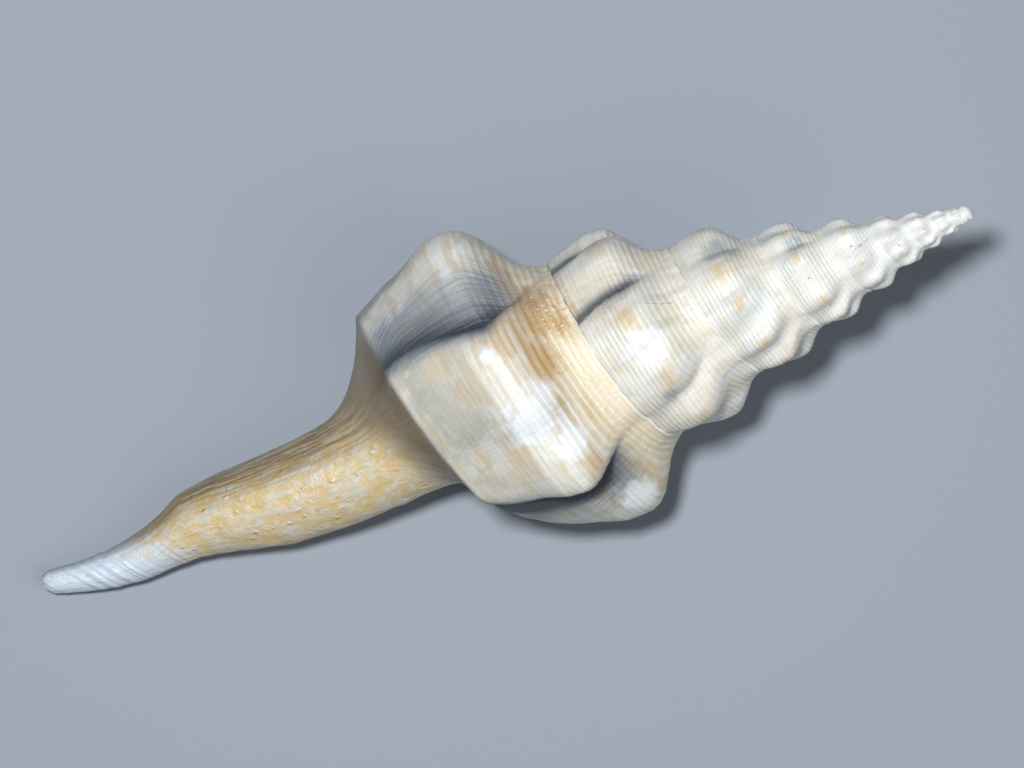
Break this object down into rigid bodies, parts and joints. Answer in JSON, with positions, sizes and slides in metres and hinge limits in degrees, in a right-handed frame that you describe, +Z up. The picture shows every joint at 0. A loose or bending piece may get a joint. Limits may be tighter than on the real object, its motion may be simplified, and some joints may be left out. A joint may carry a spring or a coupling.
{
  "type": "spindle shell",
  "caption": "Long spindle sea shell with knobbed stepped whorls, fine spiral cords, a wide body whorl with aperture and a long open siphonal canal",
  "frame": {"origin": "Centre of the bounding box in X and Y, at its lowest level: the floor that the shell lies on.", "axes": "+X points towards the apex along the long axis, which rises by 12.7 degrees as the shell rests on two knobs and the tip of the canal; +Y is the side of the outer lip; +Z is up, towards the back of the shell."},
  "size_m": [0.1802, 0.0606, 0.0493],
  "materials": {
    "shell_cream": "cream white shell with honey-coloured stains, satin gloss"
  },
  "bodies": {
    "root": {"shell": "shell_cream"}
  },
  "joints": []
}
